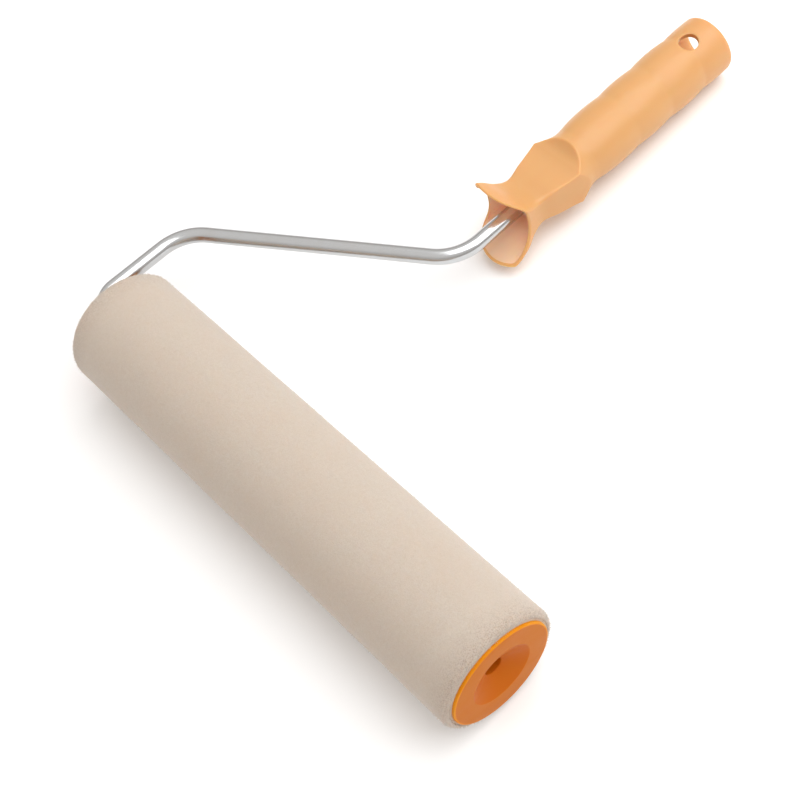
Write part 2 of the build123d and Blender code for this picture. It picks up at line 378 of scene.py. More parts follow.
@dataclass(frozen=True)
class PilePlush:
    """Short dense plush, as roots or as loose fibre ends. Metres, scales in features per metre."""

    name: str
    tip_colour: Triple
    # Painted shade: the colour in the hollows between tufts.
    root_shade_colour: Triple
    half_length: float
    fibre_scale: float = 2300.0
    tuft_scale: float = 620.0
    tuft_share: float = 0.25
    root_shade_share: float = 0.8
    patch_scale: float = 42.0
    patch_stretch: Triple = (0.6, 1.0, 1.0)
    patch_tint: Triple = (0.96, 0.88, 0.82)
    patch_share: float = 0.45
    # Painted shadow: brown specks near the sleeve's two ends.
    end_shadow_colour: Triple = (0.30, 0.22, 0.175)
    end_reach: tuple[float, float] = (0.012, 0.001)
    end_share: float = 0.6
    end_scale: float = 1900.0
    bump_depth: float = 0.0004
    bump_strength: float = 0.7
    roughness: float = 0.92
    specular: float = 0.2
    sheen: float = 0.25
    sheen_roughness: float = 0.45
    sheen_tint: Triple = (1.0, 0.95, 0.90)
    see_in: float = 0.4
    see_in_tint: Triple = (1.0, 0.55, 0.35)
    see_in_depth: float = 0.005

    def material(self) -> bpy.types.Material:
        """Matt fibres: painted shade in the hollows between tufts, mottled at three scales, painted
        shadow specks at the ends.

        Returns:
            The material.
        """
        g = NodeGraph(self.name)
        plain = g.coordinates()
        fibre = g.noise(plain, self.fibre_scale, 3.0, 0.6)
        tuft = g.noise(plain, self.tuft_scale, 3.0, 0.55)
        patch = g.noise(g.coordinates(stretch=self.patch_stretch), self.patch_scale, 3.0, 0.55)
        depth = g.combine("ADD", g.combine("MULTIPLY", fibre, 1.0 - self.tuft_share),
                          g.combine("MULTIPLY", tuft, self.tuft_share))
        # Painted shade: the root colour fills the low places of the tuft relief.
        roots = g.spread(depth, self.root_shade_share, 0.0, (0.36, 0.62))
        colour = g.mix(roots, self.tip_colour, self.root_shade_colour)
        warm = tuple(c * k for c, k in zip(self.tip_colour, self.patch_tint))
        colour = g.mix(g.spread(patch, 0.0, self.patch_share, (0.35, 0.75)), colour, warm)
        # Painted shadow: brown specks mixed in near the sleeve's two ends.
        along = g.add("ShaderNodeSeparateXYZ", {"Vector": plain}).outputs["X"]
        span = tuple(self.half_length - reach for reach in self.end_reach)
        ends = g.spread(g.combine("ABSOLUTE", along, 0.0), 0.0, self.end_share, span)
        speck = g.spread(g.noise(plain, self.end_scale, 3.0), 0.0, 1.0, (0.44, 0.66))
        colour = g.mix(g.combine("MULTIPLY", ends, speck), colour, self.end_shadow_colour)
        g.set(Base_Color=colour, Roughness=self.roughness, Specular_IOR_Level=self.specular,
              Sheen_Weight=self.sheen, Sheen_Roughness=self.sheen_roughness,
              Sheen_Tint=rgba(self.sheen_tint), Subsurface_Weight=self.see_in,
              Subsurface_Radius=self.see_in_tint, Subsurface_Scale=self.see_in_depth)
        g.bump(depth, self.bump_strength, self.bump_depth)
        return g.material


@dataclass(frozen=True)
class WovenBacking:
    """Plain-weave backing cloth under the pile."""

    name: str
    colour: Triple
    threads_per_m: float = 900.0
    thread_wander: float = 0.4
    gap_shade: float = 0.72
    roughness: float = 0.9
    sheen: float = 0.2
    weave_depth: float = 0.0002
    weave_strength: float = 0.6

    def material(self) -> bpy.types.Material:
        """Crossed threads from two waves, darker in the gaps between them.

        Returns:
            The material.
        """
        g = NodeGraph(self.name)
        waves = {"Vector": g.coordinates(), "Scale": self.threads_per_m,
                 "Distortion": self.thread_wander}
        warp, weft = (g.add("ShaderNodeTexWave", waves, wave_type="BANDS", bands_direction=way)
                      for way in ("X", "Z"))
        weave = g.combine("MAXIMUM", warp.outputs["Fac"], weft.outputs["Fac"])
        shade = tuple(self.gap_shade * c for c in self.colour)
        colour = g.mix(g.spread(weave, 0.0, 1.0, (0.2, 0.9)), shade, self.colour)
        g.set(Base_Color=colour, Roughness=self.roughness, Sheen_Weight=self.sheen)
        g.bump(weave, self.weave_strength, self.weave_depth)
        return g.material


# ---- mesh making


@dataclass
class Corner:
    """One corner of a lathe profile: along the axis, radius and round-over, in mm."""

    along: float
    radius: float
    fillet: float = 0.0


def rounded(corners: list[Corner], steps: int = 6) -> np.ndarray:
    """Round the corners of a closed profile.

    Args:
        corners: the profile's corners in order.
        steps: segments in each round-over.

    Returns:
        Points as (along, radius), in mm.
    """
    out: list[np.ndarray] = []
    count = len(corners)
    for i, corner in enumerate(corners):
        here = np.array([corner.along, corner.radius])
        if corner.fillet <= 0:
            out.append(here)
            continue
        before = np.array([corners[i - 1].along, corners[i - 1].radius]) - here
        after = np.array([corners[(i + 1) % count].along, corners[(i + 1) % count].radius]) - here
        before /= np.linalg.norm(before)
        after /= np.linalg.norm(after)
        half = 0.5 * math.acos(float(np.clip(before @ after, -1.0, 1.0)))
        reach = corner.fillet / math.tan(half)
        start = here + before * reach
        finish = here + after * reach
        for k in range(steps + 1):
            t = k / steps
            mid = (1 - t) ** 2 * start + 2 * t * (1 - t) * here + t ** 2 * finish
            out.append(mid)
    return np.array(out)


def grid_mesh(name: str, rings: np.ndarray, loop: bool, caps: tuple[bool, bool] = (False, False),
              uv: np.ndarray | None = None) -> bpy.types.Object:
    """Mesh a stack of closed rings.

    Args:
        name: the piece's name.
        rings: points by ring and by column, in metres.
        loop: True if the last ring joins the first.
        caps: whether the first and last rings are closed by a fan.
        uv: along-the-stack coordinate of each ring, for a UV map.

    Returns:
        The new object, shaded smooth with sharp edges kept.
    """
    count, around = rings.shape[:2]
    verts = [tuple(p) for p in rings.reshape(-1, 3)]
    faces: list[tuple[int, ...]] = []
    last = count if loop else count - 1
    for i in range(last):
        a = i * around
        b = ((i + 1) % count) * around
        for j in range(around):
            k = (j + 1) % around
            faces.append((a + j, b + j, b + k, a + k))
    for end, closed in ((0, caps[0]), (count - 1, caps[1])):
        if closed:
            verts.append(tuple(rings[end].mean(axis=0)))
            pole = len(verts) - 1
            base = end * around
            for j in range(around):
                k = (j + 1) % around
                faces.append((base + j, base + k, pole) if end == 0 else (base + k, base + j, pole))
    mesh = bpy.data.meshes.new(name)
    mesh.from_pydata(verts, [], faces)
    if uv is not None:
        layer = mesh.uv_layers.new(name="UVMap")
        for polygon in mesh.polygons:
            corners = list(polygon.vertices)
            columns = [v % around if v < count * around else 0 for v in corners]
            wraps = max(columns) - min(columns) > around // 2
            for index, vertex, column in zip(polygon.loop_indices, corners, columns):
                u = (column + around if wraps and column == 0 else column) / around
                v = uv[min(vertex // around, count - 1)]
                layer.data[index].uv = (u, float(v))
    return finish_mesh(name, mesh)


def finish_mesh(name: str, mesh: bpy.types.Mesh) -> bpy.types.Object:
    """Tidy a mesh's normals and link it as an object.

    Args:
        name: the piece's name.
        mesh: its mesh.

    Returns:
        The linked object.
    """
    mesh.validate()
    face_out(mesh)
    mesh.shade_smooth()
    mesh.set_sharp_from_angle(angle=SHARP_ANGLE)
    obj = bpy.data.objects.new(name, mesh)
    bpy.context.scene.collection.objects.link(obj)
    return obj


def face_out(mesh: bpy.types.Mesh) -> None:
    """Turn a closed mesh's faces outward if they look inward.

    Args:
        mesh: the mesh, changed in place.
    """
    volume = 0.0
    points = mesh.vertices
    mesh.calc_loop_triangles()
    for tri in mesh.loop_triangles:
        a, b, c = (points[i].co for i in tri.vertices)
        volume += a.dot(b.cross(c))
    if volume < 0:
        mesh.flip_normals()


def lathe(name: str, profile: np.ndarray, segments: int) -> bpy.types.Object:
    """Turn a closed profile about the roller's axis.

    Args:
        name: the piece's name.
        profile: (along, radius) points in mm.
        segments: columns round the axis.

    Returns:
        The turned object.
    """
    angle = np.linspace(0.0, FULL_TURN, segments, endpoint=False)
    rings = np.empty((len(profile), segments, 3))
    rings[:, :, 0] = profile[:, 0:1]
    rings[:, :, 1] = profile[:, 1:2] * np.cos(angle)
    rings[:, :, 2] = profile[:, 1:2] * np.sin(angle)
    return grid_mesh(name, rings * MM, loop=True)


def join(target: bpy.types.Object, others: list[bpy.types.Object]) -> None:
    """Merge other objects' meshes into the target."""
    with bpy.context.temp_override(active_object=target, selected_editable_objects=[target, *others]):
        bpy.ops.object.join()


def carve(target: bpy.types.Object, cutter: bpy.types.Object) -> None:
    """Cut one closed object out of another and drop the cutter.

    Args:
        target: the object that is cut.
        cutter: the object that is removed from it.
    """
    modifier = target.modifiers.new("cut", "BOOLEAN")
    modifier.operation = "DIFFERENCE"
    modifier.solver = "EXACT"
    modifier.object = cutter
    bpy.context.view_layer.update()
    graph = bpy.context.evaluated_depsgraph_get()
    cut = bpy.data.meshes.new_from_object(target.evaluated_get(graph))
    target.modifiers.clear()
    old = target.data
    target.data = cut
    bpy.data.meshes.remove(old)
    bpy.data.objects.remove(cutter)
    cut.shade_smooth()
    cut.set_sharp_from_angle(angle=SHARP_ANGLE)


def curve_through(points: Curve, where: np.ndarray) -> np.ndarray:
    """Smooth curve through points, read at given places.

    Args:
        points: (place, value) pairs in rising order.
        where: places to read.

    Returns:
        The values there.
    """
    x = np.array([p[0] for p in points])
    y = np.array([p[1] for p in points])
    slope = np.gradient(y, x)
    where = np.clip(where, x[0], x[-1])
    i = np.clip(np.searchsorted(x, where) - 1, 0, len(x) - 2)
    h = x[i + 1] - x[i]
    t = (where - x[i]) / h
    return ((2 * t ** 3 - 3 * t ** 2 + 1) * y[i] + (t ** 3 - 2 * t ** 2 + t) * h * slope[i]
            + (3 * t ** 2 - 2 * t ** 3) * y[i + 1] + (t ** 3 - t ** 2) * h * slope[i + 1])


def soft_min(a: np.ndarray, b: np.ndarray, k: float) -> np.ndarray:
    """Smaller of two values, blended over a width k where they meet."""
    h = np.clip(k - np.abs(a - b), 0.0, None) / k
    return np.minimum(a, b) - h * h * k * 0.25


def dress(obj: bpy.types.Object, material: bpy.types.Material, body: Body, slot: Slot,
          *replaced: str) -> None:
    """Give a new piece its finish, its body and the CAD nodes it stands for.

    Args:
        obj: the piece.
        material: its finish.
        body: what it moves with.
        slot: the record's slot for that finish; not used.
        replaced: CAD nodes that it stands for.
    """
    if not obj.data.materials:
        obj.data.materials.append(material)
    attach(obj, body.value)
    if replaced:
        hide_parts(*replaced)
    LOG.info("built %s: %d faces on %s", obj.name, len(obj.data.polygons), body.value)


def repaint(node: str, material: bpy.types.Material) -> None:
    """Give a CAD node that stays in view a node-based finish.

    Args:
        node: the CAD node's name.
        material: its finish.
    """
    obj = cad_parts[node]
    obj.data.materials.clear()
    obj.data.materials.append(material)
    LOG.info("dressed %s", node)


# ---- handle


@dataclass
class Handle:
    """Grip, squared neck and open drip guard in one closed skin. Millimetres, y along the handle."""

    axis_x: float
    end_y: float
    rod_radius: float
    columns: int = 256
    end_round: float = 1.3
    grip_valleys: Curve = ((196.7, 13.6), (222.8, 14.25), (244.3, 14.2), (266.2, 14.1))
    grip_swells: Curve = ((209.5, 14.85), (233.2, 14.85), (254.8, 14.92))
    grip_tail: tuple[float, float] = (276.0, 14.6)
    grip_end_r: float = 14.3
    shoulder: Curve = ((175.0, 27.0), (181.0, 19.6), (184.6, 17.0), (189.4, 14.9), (193.0, 13.9),
                       (196.7, 13.6))
    valley_softness: float = 0.8
    fine_step: float = 0.1
    softening_steps: int = 30
    past_end: float = 10.0
    plan_half: Curve = ((130.0, 12.9), (141.0, 13.4), (146.0, 13.6), (151.0, 13.1), (156.0, 11.3),
                        (162.5, 9.9), (172.0, 11.6), (184.6, 14.1), (196.0, 15.2), (206.0, 16.2))
    top_z: Curve = ((130.0, 21.5), (144.0, 19.1), (151.0, 14.8), (156.0, 10.7), (162.5, 7.5),
                    (172.0, 8.2), (184.6, 9.5), (188.6, 11.0), (192.5, 14.4), (195.0, 17.5),
                    (200.0, 24.0))
    low_z: Curve = ((130.0, 16.4), (138.0, 15.4), (144.0, 13.7), (151.0, 10.0), (156.0, 7.6),
                    (162.5, 6.4), (172.0, 7.7), (184.6, 9.3), (188.6, 11.0), (192.5, 14.4),
                    (195.0, 17.5), (200.0, 24.0))
    crease: Curve = ((130.0, 2.4), (144.0, 2.4), (151.0, 4.0), (160.0, 4.5), (168.0, 2.6), (176.0, 1.2),
                     (184.0, 0.6), (190.0, 0.5))
    crease_gain: float = 0.16
    corner_bunching: float = 0.45
    pad_end_y: float = 184.6
    square_end_y: float = 200.7
    grip_blend: float = 0.4
    mouth: tuple[Row, ...] = (
        (22.0, 156.0, 146.3, 152.6), (17.8, 151.6, 146.7, 154.4), (16.2, 150.0, 146.8, 154.8),
        (14.8, 149.6, 147.6, 155.0), (13.2, 149.8, 148.4, 155.4), (11.6, 152.6, 149.2, 156.8),
        (9.0, 155.4, 149.5, 158.2), (4.0, 156.4, 149.5, 159.1), (-2.0, 157.0, 148.0, 158.2),
        (-7.0, 156.4, 144.4, 154.8), (-12.0, 152.4, 140.4, 148.6), (-16.0, 147.2, 137.6, 143.4),
        (-22.0, 141.0, 134.5, 139.4))
    mouth_plane_x: float = 18.0
    mouth_search_y: float = 131.0
    mouth_search_steps: int = 300
    mouth_evening: int = 3
    wall: float = 1.1
    lip: float = 0.5
    cavity_crease: float = 2.6
    cavity_floor_y: float = 160.5
    cavity_floor_round: float = 1.6
    floor_shares: Row = (0.3, 0.65, 0.9)
    neck_rise: float = 4.0
    inner_rows: int = 34
    lip_rows: int = 11
    outer_rows: int = 54
    grip_steps: Curve = ((198.0, 0.45), (261.0, 0.9), (277.0, 0.32))
    end_step: float = 0.8
    bore_end_y: float = 198.4
    bore_slack: float = 0.01
    bore_lead: float = 0.5
    bore_ease: float = 0.15
    bore_plain: float = 8.0
    socket_r: float = 12.0
    socket_depth: float = 80.0
    socket_lead_in: float = 0.9
    socket_ease: float = 0.1
    socket_blend: tuple[float, float] = (0.2, 0.08)
    socket_corner: float = 1.0
    socket_plain: float = 3.0
    socket_wall_rings: int = 24
    socket_floor_r: Row = (8.0, 4.0)
    hole_r: float = 4.6
    hole_y: float = 268.7
    hole_tilt: float = 7.0
    hole_round: float = 0.8
    hole_sink: float = 0.3
    hole_sink_most: float = 1.25
    hole_segments: int = 96
    drill_reach: float = 25.0
    socket_rings: int = 32

    def grip_radius(self, y: np.ndarray) -> np.ndarray:
        """Radius of the round grip, with its valleys slightly softened.

        Args:
            y: places along the handle.

        Returns:
            The radius at each.
        """
        fine = np.arange(self.shoulder[0][0], self.end_y + self.past_end, self.fine_step)
        radius = curve_through(self.shoulder, fine)
        starts = [*self.grip_valleys, (self.end_y, self.grip_end_r)]
        for first, middle, last in zip(starts[:-1], [*self.grip_swells, self.grip_tail], starts[1:]):
            bow = np.polyfit(*zip(first, middle, last), 2)
            radius = np.where(fine >= first[0], np.polyval(bow, fine), radius)
        radius = np.where(fine > self.end_y, self.grip_end_r, radius)
        reach = np.arange(-self.softening_steps, self.softening_steps + 1) * self.fine_step
        weight = np.exp(-0.5 * (reach / self.valley_softness) ** 2)
        padded = np.pad(radius, self.softening_steps, mode="edge")
        soft = np.convolve(padded, weight / weight.sum(), mode="valid")
        return np.interp(y, fine, soft)

    def corner_angles(self, y: np.ndarray) -> tuple[np.ndarray, np.ndarray]:
        """Angles of the upper and lower corners of the squared section.

        Args:
            y: places along the handle.

        Returns:
            The upper and the lower corner angle, in radians from the sideways direction.
        """
        held = np.minimum(y, self.pad_end_y)
        half = curve_through(self.plan_half, held)
        return (np.arctan2(curve_through(self.top_z, held), half),
                np.arctan2(curve_through(self.low_z, held), half))

    def angles(self, y: np.ndarray) -> np.ndarray:
        """Angle of every column, so that four columns run along the creases.

        Args:
            y: places along the handle, one column of them per mesh column.

        Returns:
            An angle for each place.
        """
        upper, lower = self.corner_angles(y)
        share = np.arange(self.columns) / self.columns * 4
        sector = share.astype(int)
        part = share - sector
        part = part - self.corner_bunching * np.sin(FULL_TURN * part) / FULL_TURN
        starts = np.stack([-lower, upper, math.pi - upper, math.pi + lower, FULL_TURN - lower])
        column = np.broadcast_to(np.arange(self.columns), y.shape)
        rows = np.indices(y.shape)[0]
        first = starts[sector[column], rows, column]
        last = starts[sector[column] + 1, rows, column]
        return first + (last - first) * part[column]

    def squared(self, y: np.ndarray, angle: np.ndarray, inset: float, crease: np.ndarray) -> np.ndarray:
        """Distance from the axis to the four-sided body.

        Args:
            y: places along the handle.
            angle: direction from the axis.
            inset: how far inside the outer faces.
            crease: width over which two faces blend.

        Returns:
            The distance for each place.
        """
        grow = self.crease_gain * crease - inset
        half = curve_through(self.plan_half, y) + grow
        up = curve_through(self.top_z, y) + grow
        down = curve_through(self.low_z, y) + grow
        tall = np.where(np.sin(angle) > 0, up, down)
        beside = half / np.maximum(np.abs(np.cos(angle)), 1e-3)
        above = tall / np.maximum(np.abs(np.sin(angle)), 1e-3)
        return soft_min(beside, above, crease)

    def outside(self, y: np.ndarray, angle: np.ndarray) -> np.ndarray:
        """Distance from the axis to the outer skin.

        Args:
            y: places along the handle.
            angle: direction from the axis.

        Returns:
            The distance for each place.
        """
        crease = curve_through(self.crease, y)
        square = np.where(y < self.square_end_y, self.squared(y, angle, 0.0, crease), FAR_OUT)
        return soft_min(square, self.grip_radius(y), self.grip_blend)

    def inside(self, y: np.ndarray, angle: np.ndarray) -> np.ndarray:
        """Distance from the axis to the guard's inner skin."""
        return self.squared(y, angle, self.wall, np.full_like(y, self.cavity_crease))

    def mouth_y(self, x: np.ndarray, z: np.ndarray) -> np.ndarray:
        """Where the guard's front edge lies over a point of its section, from the mouth's rows.

        Each row is a height and the edge's y at the guard's left, middle and right.

        Args:
            x: sideways place.
            z: height.

        Returns:
            The y of the edge.
        """
        heights, *edges = zip(*reversed(self.mouth))
        left, middle, right = (curve_through(tuple(zip(heights, edge)), z) for edge in edges)
        u = x / self.mouth_plane_x
        return middle + 0.5 * (right - left) * u + (0.5 * (right + left) - middle) * u * u

    def edge(self, skin: Skin) -> np.ndarray:
        """Where each column of a skin meets the guard's front edge.

        Args:
            skin: the outside or inside method.

        Returns:
            One y for each column.
        """
        steps = np.linspace(self.cavity_floor_y, self.mouth_search_y, self.mouth_search_steps)
        y = np.repeat(steps[:, None], self.columns, axis=1)
        angle = self.angles(y)
        radius = skin(y, angle)
        gap = y - self.mouth_y(radius * np.cos(angle), radius * np.sin(angle))
        first = np.argmax(gap < 0, axis=0)
        column = np.arange(self.columns)
        after, before = gap[first, column], gap[first - 1, column]
        share = before / (before - after)
        found = steps[first - 1] + share * (steps[first] - steps[first - 1])
        return self.even(found)

    def even(self, values: np.ndarray) -> np.ndarray:
        """Take the steps out of a closed row of values.

        Args:
            values: one value for each column.

        Returns:
            The evened values.
        """
        for _ in range(self.mouth_evening):
            values = 0.25 * np.roll(values, 1) + 0.5 * values + 0.25 * np.roll(values, -1)
        return values

    @staticmethod
    def ring(y: np.ndarray, radius: np.ndarray, angle: np.ndarray) -> np.ndarray:
        """Points of rings from their places, distances and angles."""
        return np.stack([radius * np.cos(angle), y, radius * np.sin(angle)], axis=-1)

    def skin_rows(self, skin: Skin, rows: np.ndarray) -> np.ndarray:
        """Rings of a skin at rows of places.

        Args:
            skin: the outside or inside method.
            rows: y by row and column.

        Returns:
            The ring points.
        """
        angle = self.angles(rows)
        return self.ring(rows, skin(rows, angle), angle)

    def flat_rows(self, places: list[tuple[float, float]], like: np.ndarray) -> np.ndarray:
        """Round rings with their columns at the angles of another ring.

        Args:
            places: (y, radius) of each ring.
            like: the points of the other ring.

        Returns:
            The ring points.
        """
        angle = np.arctan2(like[:, 2], like[:, 0])
        rows = [self.ring(np.full_like(angle, y), np.full_like(angle, r), angle) for y, r in places]
        return np.stack(rows)

    def guard_rings(self) -> tuple[np.ndarray, np.ndarray, np.ndarray]:
        """Inner skin from the floor to the edge, the rolled lip, and the outer skin up to the neck.

        Returns:
            The three stacks of rings.
        """
        edge_in = self.edge(self.inside) + self.lip
        edge_out = self.edge(self.outside) + self.lip
        deep = self.cavity_floor_y - self.cavity_floor_round
        share = np.linspace(0.0, 1.0, self.inner_rows)[:, None]
        inner = self.skin_rows(self.inside, deep + (edge_in - deep) * share)
        neck = self.cavity_floor_y + self.neck_rise
        share = np.linspace(0.0, 1.0, self.outer_rows)[:, None]
        outer = self.skin_rows(self.outside, edge_out + (neck - edge_out) * share)
        turn = np.linspace(0.0, math.pi, self.lip_rows)[1:-1, None, None]
        share = 0.5 - 0.5 * np.cos(turn)
        lip = inner[-1] * (1 - share) + outer[0] * share
        lip = lip - self.lip * np.sin(turn) * np.array([0.0, 1.0, 0.0])
        return inner, lip, outer

    def floor_rings(self, rim: np.ndarray) -> np.ndarray:
        """Floor of the guard with the rod's bore, from the bore's blind end out to the wall.

        Args:
            rim: the guard's first inner ring, where the wall starts.

        Returns:
            The rings.
        """
        angle = np.arctan2(rim[:, 2], rim[:, 0])
        floor, corner = self.cavity_floor_y, self.cavity_floor_round
        bore = self.rod_radius + self.bore_slack
        mouth = bore + self.bore_lead
        rings = [*self.flat_rows([(self.bore_end_y, bore), (floor + self.bore_plain, bore),
                                  (floor + self.bore_lead, bore),
                                  (floor + self.bore_ease, bore + self.bore_ease), (floor, mouth)], rim)]
        inner = np.hypot(rim[:, 0], rim[:, 2]) - corner
        for share in self.floor_shares:
            rings.append(self.ring(np.full_like(angle, floor), mouth * (1 - share) + inner * share,
                                   angle))
        for turn in np.linspace(0.0, QUARTER_TURN, 7)[:-1]:
            rings.append(self.ring(np.full_like(angle, floor - corner * (1 - math.cos(turn))),
                                   inner + corner * math.sin(turn), angle))
        return np.stack(rings)

    def grip_rings(self) -> np.ndarray:
        """Outer skin from the neck to the rolled end.

        Returns:
            The rings.
        """
        stop = self.end_y - self.end_round
        place = self.cavity_floor_y + self.neck_rise + self.grip_steps[0][1]
        places: list[np.ndarray] = []
        for end, step in (*self.grip_steps, (stop - 0.5 * self.end_step, self.end_step)):
            places.append(np.arange(place, end, step))
            place = end
        rows = np.repeat(np.concatenate([*places, [stop]])[:, None], self.columns, axis=1)
        return self.sink_round_hole(self.skin_rows(self.outside, rows))

    def sink_round_hole(self, rings: np.ndarray) -> np.ndarray:
        """Roll the skin in a little round the hanging hole, at both sides.

        Args:
            rings: the outer skin's points.

        Returns:
            The points, moved towards the axis near the hole.
        """
        tilt = math.radians(self.hole_tilt)
        axis = np.array([math.sin(tilt), 0.0, math.cos(tilt)])
        local = rings - np.array([0.0, self.hole_y, 0.0])
        off_axis = local - (local @ axis)[..., None] * axis
        away = np.linalg.norm(off_axis, axis=-1)
        near = np.clip(1.0 - (away - self.hole_r) / self.hole_round, 0.0, self.hole_sink_most)
        sink = self.hole_sink * near ** 2
        radial = rings * np.array([1.0, 0.0, 1.0])
        radial /= np.linalg.norm(radial, axis=-1)[..., None]
        return rings - sink[..., None] * radial

    def end_rings(self, like: np.ndarray) -> np.ndarray:
        """Rolled end, end face, lead-in, socket wall and the start of its floor.

        Args:
            like: the grip's last ring.

        Returns:
            The rings.
        """
        end, corner, wide = self.end_y, self.socket_corner, self.socket_r + self.socket_lead_in
        places = [(end - self.end_round * (1 - math.sin(turn)),
                   self.grip_end_r - self.end_round * (1 - math.cos(turn)))
                  for turn in np.linspace(0.0, QUARTER_TURN, 9)[1:]]
        lead_end = end - self.socket_lead_in
        places += [(end, wide + self.socket_ease), (end - self.socket_ease, wide),
                   (lead_end, self.socket_r + self.socket_blend[1]),
                   (lead_end - self.socket_blend[0], self.socket_r)]
        floor = end - self.socket_depth
        places += [(y, self.socket_r) for y in np.linspace(end - self.socket_plain, floor + corner,
                                                           self.socket_wall_rings)]
        places += [(floor + corner - corner * math.sin(turn),
                    self.socket_r - corner + corner * math.cos(turn))
                   for turn in (0.3, 0.6, 0.9, 1.2, QUARTER_TURN)]
        places += [(floor, radius) for radius in self.socket_floor_r]
        return self.flat_rows(places, like)

    def hole_cutter(self) -> bpy.types.Object:
        """Drill for the hanging hole, through both walls.

        Returns:
            The drill, at the hole's place and tilt.
        """
        turn = np.linspace(0.0, FULL_TURN, self.hole_segments, endpoint=False)
        circle = [self.hole_r * np.cos(turn), self.hole_r * np.sin(turn)]
        rings = np.stack([np.stack([*circle, np.full_like(turn, z)], axis=-1)
                          for z in (-self.drill_reach, self.drill_reach)])
        cutter = grid_mesh("hole_cutter", rings * MM, loop=False, caps=(True, True))
        place = Matrix.Translation(Vector((self.axis_x, self.hole_y, 0.0)) * MM)
        cutter.data.transform(place @ Matrix.Rotation(math.radians(self.hole_tilt), 4, "Y"))
        return cutter

    def build(self, *skins: bpy.types.Material) -> bpy.types.Object:
        """Mesh the whole moulding as one closed skin.

        Args:
            skins: finishes of the outer skin, of the guard's inside and of the socket's wall; the last
                two are paler apricot with painted light.

        Returns:
            The handle.
        """
        inner, lip, outer = self.guard_rings()
        grip = self.grip_rings()
        floor = self.floor_rings(inner[0])
        rings = np.concatenate([floor, inner, lip, outer, grip, self.end_rings(grip[-1])])
        rings = rings + np.array([self.axis_x, 0.0, 0.0])
        body = grid_mesh("handle_moulding", rings * MM, loop=False, caps=(True, True))
        for finish in skins:
            body.data.materials.append(finish)
        # The guard's inside and the socket's wall take the copies with painted light.
        order = np.arange(len(body.data.polygons))
        in_guard = order < (len(floor) + len(inner) - 1) * self.columns
        in_socket = order >= (len(rings) - self.socket_rings) * self.columns
        body.data.polygons.foreach_set("material_index", (in_guard + 2 * in_socket).astype(np.int32))
        carve(body, self.hole_cutter())
        return body


# ---- rod


@dataclass
class Rod:
    """One round rod, bent three times in one plane and grooved near its tip. Millimetres."""

    tip_x: float
    elbow_x: float
    radius: float
    handle_x: float
    knee: tuple[float, float] = (-140.4, 50.5)
    neck_y: float = 122.2
    end_y: float = 198.0
    bends: tuple[float, float, float] = (9.5, 23.0, 23.0)
    chamfer: float = 1.0
    tip_ease: float = 0.25
    tip_flat: float = 0.12
    chamfer_ease: float = 0.06
    groove_edge: float = 0.08
    groove_r: float = 3.1
    groove_x: tuple[float, float] = (101.0, 104.2)
    around: int = 48
    degrees_per_ring: float = 3.0
    run_step: float = 6.0
    fewest_bend_steps: int = 4
    clear_of_groove: float = 1.0

    def centre_line(self) -> list[tuple[Vector, Vector]]:
        """Points and directions along the straight runs and their tangent arcs.

        Returns:
            (point, direction) pairs from the tip to the handle.
        """
        corners = [Vector((self.tip_x, 0.0)), Vector((self.elbow_x, 0.0)), Vector(self.knee),
                   Vector((self.handle_x, self.neck_y)), Vector((self.handle_x, self.end_y))]
        line: list[tuple[Vector, Vector]] = []
        start = corners[0]
        for i, radius in enumerate(self.bends, start=1):
            come = (corners[i] - corners[i - 1]).normalized()
            leave = (corners[i + 1] - corners[i]).normalized()
            turn = come.angle_signed(leave)
            reach = radius * math.tan(abs(turn) / 2)
            bend_in = corners[i] - come * reach
            line += self.run(start, bend_in)
            side = Vector((come.y, -come.x)) * math.copysign(1.0, turn)
            centre = bend_in + side * radius
            steps = max(self.fewest_bend_steps, round(abs(math.degrees(turn)) / self.degrees_per_ring))
            for k in range(1, steps):
                part = Matrix.Rotation(-turn * k / steps, 2)
                line.append((centre + part @ (bend_in - centre), part @ come))
            start = corners[i] + leave * reach
        line += self.run(start, corners[-1])
        return line

    def run(self, start: Vector, end: Vector) -> list[tuple[Vector, Vector]]:
        """Evenly spaced points of one straight run, both ends included.

        Args:
            start: the run's first point.
            end: its last point.

        Returns:
            (point, direction) pairs.
        """
        way = end - start
        count = max(1, round(way.length / self.run_step))
        return [(start + way * k / count, way.normalized()) for k in range(count + 1)]

    def tip(self) -> list[tuple[float, float]]:
        """Chamfered and grooved tip, up to the plain run.

        Returns:
            (x, radius) pairs.
        """
        (far, near), edge, ease = self.groove_x, self.groove_edge, self.tip_ease
        flat, shoulder = self.radius - self.chamfer, self.tip_x - self.chamfer
        return [(self.tip_x, flat - ease), (self.tip_x - self.tip_flat, flat),
                (shoulder, self.radius - self.chamfer_ease), (shoulder - ease, self.radius),
                (near + edge, self.radius), (near, self.radius - edge), (near - edge, self.groove_r),
                (far + edge, self.groove_r), (far, self.radius - edge), (far - edge, self.radius)]

    def build(self) -> bpy.types.Object:
        """Sweep the section along the line.

        Returns:
            The rod.
        """
        line = self.centre_line()
        plain = [(point, way, self.radius) for point, way in line
                 if point.x < self.groove_x[0] - self.clear_of_groove or point.y > 1.0]
        along = Vector((-1.0, 0.0))
        stations = [(Vector((x, 0.0)), along, radius) for x, radius in self.tip()] + plain
        angle = np.linspace(0.0, FULL_TURN, self.around, endpoint=False) - QUARTER_TURN
        rings = np.empty((len(stations), self.around, 3))
        length = [0.0]
        for i, (point, way, radius) in enumerate(stations):
            side = Vector((way.y, -way.x))
            rings[i, :, 0] = point.x + radius * np.cos(angle) * side.x
            rings[i, :, 1] = point.y + radius * np.cos(angle) * side.y
            rings[i, :, 2] = radius * np.sin(angle)
            if i:
                length.append(length[-1] + (point - stations[i - 1][0]).length)
        return grid_mesh("bent_rod", rings * MM, loop=False, caps=(True, True), uv=np.array(length) * MM)


# ---- sleeve


